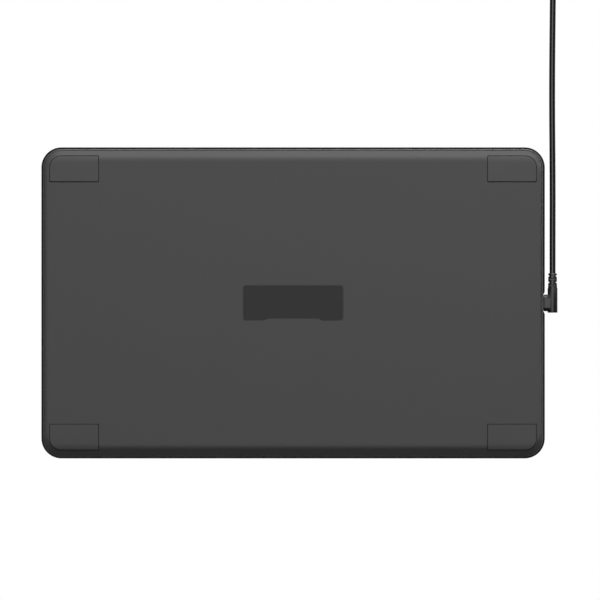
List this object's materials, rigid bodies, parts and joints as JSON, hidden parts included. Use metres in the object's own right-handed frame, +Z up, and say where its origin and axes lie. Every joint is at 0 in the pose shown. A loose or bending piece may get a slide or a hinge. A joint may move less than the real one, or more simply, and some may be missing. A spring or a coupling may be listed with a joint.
{
  "type": "graphics tablet",
  "caption": "Thin pen tablet with a flat drawing surface, shortcut keys, rolled-edge rear cover, corner feet and a plugged-in cable.",
  "frame": {"origin": "on the desk, under the middle of the case", "axes": "+X along the case's long side, away from the keys and the socket; +Y to the far long edge; +Z up, out of the drawing surface"},
  "size_m": [0.3606, 0.401, 0.0089],
  "materials": {
    "front_cover": "fine spark-eroded texture",
    "rear_cover": "fine spark-eroded texture",
    "drawing_film": "fine paper-like texture",
    "sensor_board": "solder mask",
    "shield_plate": "rolled",
    "foam_strips": "open-cell foam",
    "foot_rear_left": "matte",
    "foot_rear_right": "matte",
    "foot_front_left": "matte",
    "foot_front_right": "matte",
    "label_plate": "satin",
    "main_board": "solder mask",
    "usb_c_receptacle_shell": "plain",
    "usb_c_receptacle_tongue": "moulded",
    "key_switch_bodies": "moulded",
    "controller_chip": "moulded",
    "crystal": "plain",
    "board_components": "ceramic",
    "board_connector": "moulded",
    "sensor_connector": "moulded",
    "sensor_flex": "film",
    "status_led": "moulded",
    "light_pipe": "frosted",
    "case_screws": "blackened",
    "board_screws": "plain",
    "usb_c_plug_shell": "plain",
    "usb_c_plug_core": "moulded",
    "usb_c_plug_housing": "satin",
    "usb_c_strain_relief": "satin",
    "cord_free": "satin",
    "cord_coil": "satin",
    "cord_tail": "satin",
    "usb_a_strain_relief": "satin",
    "usb_a_plug_housing": "satin",
    "usb_a_plug_shell": "plain",
    "usb_a_plug_core": "moulded",
    "keycap_1": "satin",
    "switch_plunger_1": "moulded",
    "keycap_2": "satin",
    "switch_plunger_2": "moulded",
    "keycap_3": "satin",
    "switch_plunger_3": "moulded",
    "keycap_4": "satin",
    "switch_plunger_4": "moulded",
    "keycap_5": "satin",
    "switch_plunger_5": "moulded",
    "keycap_6": "satin",
    "switch_plunger_6": "moulded",
    "keycap_7": "satin",
    "switch_plunger_7": "moulded",
    "keycap_8": "satin",
    "switch_plunger_8": "moulded"
  },
  "bodies": {
    "root": {"front_cover": "front_cover", "rear_cover": "rear_cover", "drawing_film": "drawing_film", "sensor_board": "sensor_board", "shield_plate": "shield_plate", "foam_strips": "foam_strips", "foot_rear_left": "foot_rear_left", "foot_rear_right": "foot_rear_right", "foot_front_left": "foot_front_left", "foot_front_right": "foot_front_right", "label_plate": "label_plate", "main_board": "main_board", "usb_c_receptacle_shell": "usb_c_receptacle_shell", "usb_c_receptacle_tongue": "usb_c_receptacle_tongue", "key_switch_bodies": "key_switch_bodies", "controller_chip": "controller_chip", "crystal": "crystal", "board_components": "board_components", "board_connector": "board_connector", "sensor_connector": "sensor_connector", "sensor_flex": "sensor_flex", "status_led": "status_led", "light_pipe": "light_pipe", "case_screws": "case_screws", "board_screws": "board_screws"},
    "key_1": {"keycap_1": "keycap_1", "switch_plunger_1": "switch_plunger_1"},
    "key_2": {"keycap_2": "keycap_2", "switch_plunger_2": "switch_plunger_2"},
    "key_3": {"keycap_3": "keycap_3", "switch_plunger_3": "switch_plunger_3"},
    "key_4": {"keycap_4": "keycap_4", "switch_plunger_4": "switch_plunger_4"},
    "key_5": {"keycap_5": "keycap_5", "switch_plunger_5": "switch_plunger_5"},
    "key_6": {"keycap_6": "keycap_6", "switch_plunger_6": "switch_plunger_6"},
    "key_7": {"keycap_7": "keycap_7", "switch_plunger_7": "switch_plunger_7"},
    "key_8": {"keycap_8": "keycap_8", "switch_plunger_8": "switch_plunger_8"},
    "cable": {"usb_c_plug_shell": "usb_c_plug_shell", "usb_c_plug_core": "usb_c_plug_core", "usb_c_plug_housing": "usb_c_plug_housing", "usb_c_strain_relief": "usb_c_strain_relief", "cord_free": "cord_free", "cord_coil": "cord_coil", "cord_tail": "cord_tail", "usb_a_strain_relief": "usb_a_strain_relief", "usb_a_plug_housing": "usb_a_plug_housing", "usb_a_plug_shell": "usb_a_plug_shell", "usb_a_plug_core": "usb_a_plug_core"}
  },
  "joints": [
    {"name": "key_1_press", "type": "slide", "parent": "root", "child": "key_1", "axis": [0, 0, -1], "range_m": [0, 0.0005], "stiffness_N_per_m": 400},
    {"name": "key_2_press", "type": "slide", "parent": "root", "child": "key_2", "axis": [0, 0, -1], "range_m": [0, 0.0005], "stiffness_N_per_m": 400},
    {"name": "key_3_press", "type": "slide", "parent": "root", "child": "key_3", "axis": [0, 0, -1], "range_m": [0, 0.0005], "stiffness_N_per_m": 400},
    {"name": "key_4_press", "type": "slide", "parent": "root", "child": "key_4", "axis": [0, 0, -1], "range_m": [0, 0.0005], "stiffness_N_per_m": 400},
    {"name": "key_5_press", "type": "slide", "parent": "root", "child": "key_5", "axis": [0, 0, -1], "range_m": [0, 0.0005], "stiffness_N_per_m": 400},
    {"name": "key_6_press", "type": "slide", "parent": "root", "child": "key_6", "axis": [0, 0, -1], "range_m": [0, 0.0005], "stiffness_N_per_m": 400},
    {"name": "key_7_press", "type": "slide", "parent": "root", "child": "key_7", "axis": [0, 0, -1], "range_m": [0, 0.0005], "stiffness_N_per_m": 400},
    {"name": "key_8_press", "type": "slide", "parent": "root", "child": "key_8", "axis": [0, 0, -1], "range_m": [0, 0.0005], "stiffness_N_per_m": 400},
    {"name": "cable_unplug", "type": "slide", "parent": "root", "child": "cable", "axis": [-1, 0, 0], "range_m": [0, 0.012]}
  ]
}
